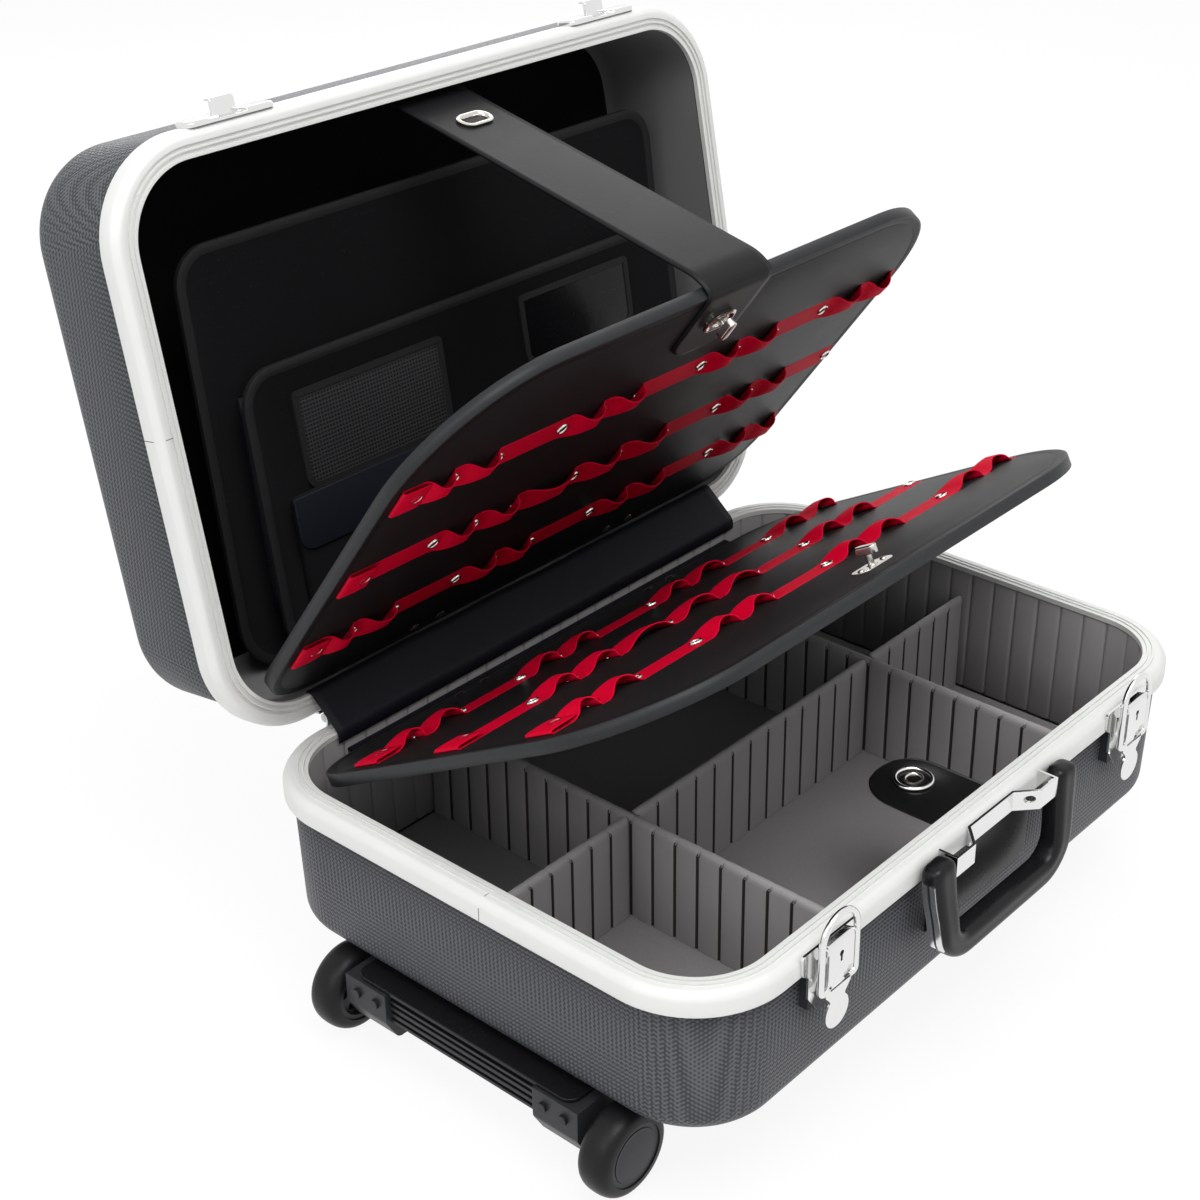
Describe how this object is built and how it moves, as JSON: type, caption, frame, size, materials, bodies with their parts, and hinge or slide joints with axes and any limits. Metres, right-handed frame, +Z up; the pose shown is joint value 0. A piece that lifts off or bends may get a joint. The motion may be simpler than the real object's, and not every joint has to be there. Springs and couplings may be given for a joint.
{
  "type": "wheeled hard case",
  "caption": "Hard case on wheels with a hinged lid, snap latches, folding tool boards, padded compartments, a carry handle and a telescopic pull handle.",
  "frame": {"origin": "middle of the open case's bounding box, on the floor that it stands on", "axes": "+X along the case away from the wheels, +Y toward the hinge, +Z up"},
  "size_m": [0.5098, 0.5246, 0.5108],
  "materials": {
    "moulded_shell": "dark grey moulded plastic with a fine embossed weave",
    "anodised_rim": "satin silver anodised extrusion",
    "grey_pad": "grey ribbed vinyl padding",
    "grey_felt": "grey felt",
    "lid_velour": "grey velour",
    "black_vinyl": "black grained leatherette",
    "satin_vinyl": "satin grey-black vinyl",
    "red_elastic": "woven red elastic",
    "chrome": "polished plating",
    "nickel": "nickel plating",
    "steel": "bright steel",
    "black_plastic": "black moulded plastic",
    "grey_plastic": "grey moulded plastic",
    "black_rail": "black anodised extrusion",
    "tyre_rubber": "black-grey polyurethane",
    "tube_metal": "satin anodised tube"
  },
  "bodies": {
    "base": {"base_shell": "moulded_shell", "base_rim": "anodised_rim", "base_wall_lining": "grey_pad", "base_floor_pad": "grey_felt", "cross_dividers": "grey_pad", "long_dividers": "grey_pad", "lower_hinge_leaf": "steel", "hinge_pin": "steel", "lower_board_tab": "black_vinyl", "closing_flap": "black_vinyl", "flap_eyelet": "nickel", "latch_plates": "chrome", "latch_spacers": "grey_plastic", "latch_pins": "steel", "handle_bracket": "chrome", "handle_pins": "steel", "handle_backing": "black_plastic", "mounting_plate": "black_plastic", "axle_blocks": "grey_plastic", "block_screws": "steel", "cross_rail": "black_rail", "axle": "steel", "feet": "black_plastic", "pull_outer_tubes": "tube_metal"},
    "lid": {"lid_shell": "moulded_shell", "lid_rim": "anodised_rim", "lid_lining": "lid_velour", "upper_hinge_leaf": "steel", "hinge_cover": "black_vinyl", "latch_catches": "chrome", "organizer_back": "black_vinyl", "organizer_front": "black_vinyl", "organizer_gussets": "black_vinyl", "organizer_flap_pocket": "black_vinyl", "strap": "satin_vinyl", "strap_eyelets": "nickel"},
    "upper_tool_board": {"upper_board": "black_vinyl", "upper_elastic_bands": "red_elastic", "upper_board_rivets": "nickel", "upper_lock_plate": "nickel"},
    "lower_tool_board": {"lower_board": "black_vinyl", "lower_elastic_bands": "red_elastic", "lower_board_rivets": "nickel", "lower_lock_plate": "nickel"},
    "upper_knob": {"upper_turn_knob": "nickel"},
    "lower_knob": {"lower_turn_knob": "nickel"},
    "left_lever": {"left_latch_lever": "chrome"},
    "right_lever": {"right_latch_lever": "chrome"},
    "left_bail": {"left_latch_bail": "chrome"},
    "right_bail": {"right_latch_bail": "chrome"},
    "handle": {"carry_handle": "black_plastic"},
    "front_wheel": {"front_tyre": "tyre_rubber", "front_hub": "grey_plastic"},
    "back_wheel": {"back_tyre": "tyre_rubber", "back_hub": "grey_plastic"},
    "middle_stage": {"pull_middle_tubes": "tube_metal"},
    "inner_stage": {"pull_inner_tubes": "tube_metal", "pull_grip": "black_plastic"},
    "release_button": {"grip_button": "black_plastic"}
  },
  "joints": [
    {"name": "lid_hinge", "type": "hinge", "parent": "base", "child": "lid", "pos_m": [0.00645, 0.10954, 0.1543], "axis": [1, 0, 0], "range_deg": [0, 100.5], "deforming": ["hinge_cover"]},
    {"name": "upper_board_hinge", "type": "hinge", "parent": "lid", "child": "upper_tool_board", "pos_m": [0.00645, 0.12211, 0.17602], "axis": [1, 0, 0], "range_deg": [-49.6, 0], "deforming": ["strap", "strap_eyelets"]},
    {"name": "lower_board_hinge", "type": "hinge", "parent": "base", "child": "lower_tool_board", "pos_m": [0.00645, 0.08154, 0.1397], "axis": [1, 0, 0], "range_deg": [0, 29], "deforming": ["closing_flap", "flap_eyelet"]},
    {"name": "upper_knob_turn", "type": "hinge", "parent": "upper_tool_board", "child": "upper_knob", "pos_m": [0.00645, -0.03904, 0.39701], "axis": [0, -0.808, -0.5892], "range_deg": [0, 90]},
    {"name": "lower_knob_turn", "type": "hinge", "parent": "lower_tool_board", "child": "lower_knob", "pos_m": [0.00645, -0.15767, 0.2723], "axis": [0, 0.4848, 0.8746], "range_deg": [0, 90]},
    {"name": "left_lever_turn", "type": "hinge", "parent": "base", "child": "left_lever", "pos_m": [-0.14555, -0.24996, 0.1527], "axis": [-1, 0, 0], "range_deg": [0, 90]},
    {"name": "left_bail_turn", "type": "hinge", "parent": "left_lever", "child": "left_bail", "pos_m": [-0.14555, -0.25016, 0.1267], "axis": [-1, 0, 0], "range_deg": [-45, 0]},
    {"name": "right_lever_turn", "type": "hinge", "parent": "base", "child": "right_lever", "pos_m": [0.15845, -0.24996, 0.1527], "axis": [-1, 0, 0], "range_deg": [0, 90]},
    {"name": "right_bail_turn", "type": "hinge", "parent": "right_lever", "child": "right_bail", "pos_m": [0.15845, -0.25016, 0.1267], "axis": [-1, 0, 0], "range_deg": [-45, 0]},
    {"name": "handle_swing", "type": "hinge", "parent": "base", "child": "handle", "pos_m": [0.00645, -0.25146, 0.1467], "axis": [-1, 0, 0], "range_deg": [0, 95]},
    {"name": "front_wheel_spin", "type": "hinge", "parent": "base", "child": "front_wheel", "pos_m": [-0.22795, -0.06846, 0.027], "axis": [0, 1, 0], "continuous": true},
    {"name": "back_wheel_spin", "type": "hinge", "parent": "base", "child": "back_wheel", "pos_m": [-0.22795, -0.06846, 0.027], "axis": [0, 1, 0], "continuous": true},
    {"name": "middle_stage_slide", "type": "slide", "parent": "base", "child": "middle_stage", "axis": [1, 0, 0], "range_m": [0, 0.32]},
    {"name": "inner_stage_slide", "type": "slide", "parent": "middle_stage", "child": "inner_stage", "axis": [1, 0, 0], "range_m": [0, 0.32]},
    {"name": "button_press", "type": "slide", "parent": "inner_stage", "child": "release_button", "axis": [-1, 0, 0], "range_m": [0, 0.0016], "stiffness_N_per_m": 600, "springref_m": -0.002}
  ],
  "couplings": [
    {"joint": "upper_board_hinge", "follows": "lid_hinge", "ratio": -0.49353},
    {"joint": "lower_board_hinge", "follows": "lid_hinge", "ratio": 0.28856},
    {"joint": "left_bail_turn", "follows": "left_lever_turn", "ratio": -0.5},
    {"joint": "right_bail_turn", "follows": "right_lever_turn", "ratio": -0.5}
  ]
}
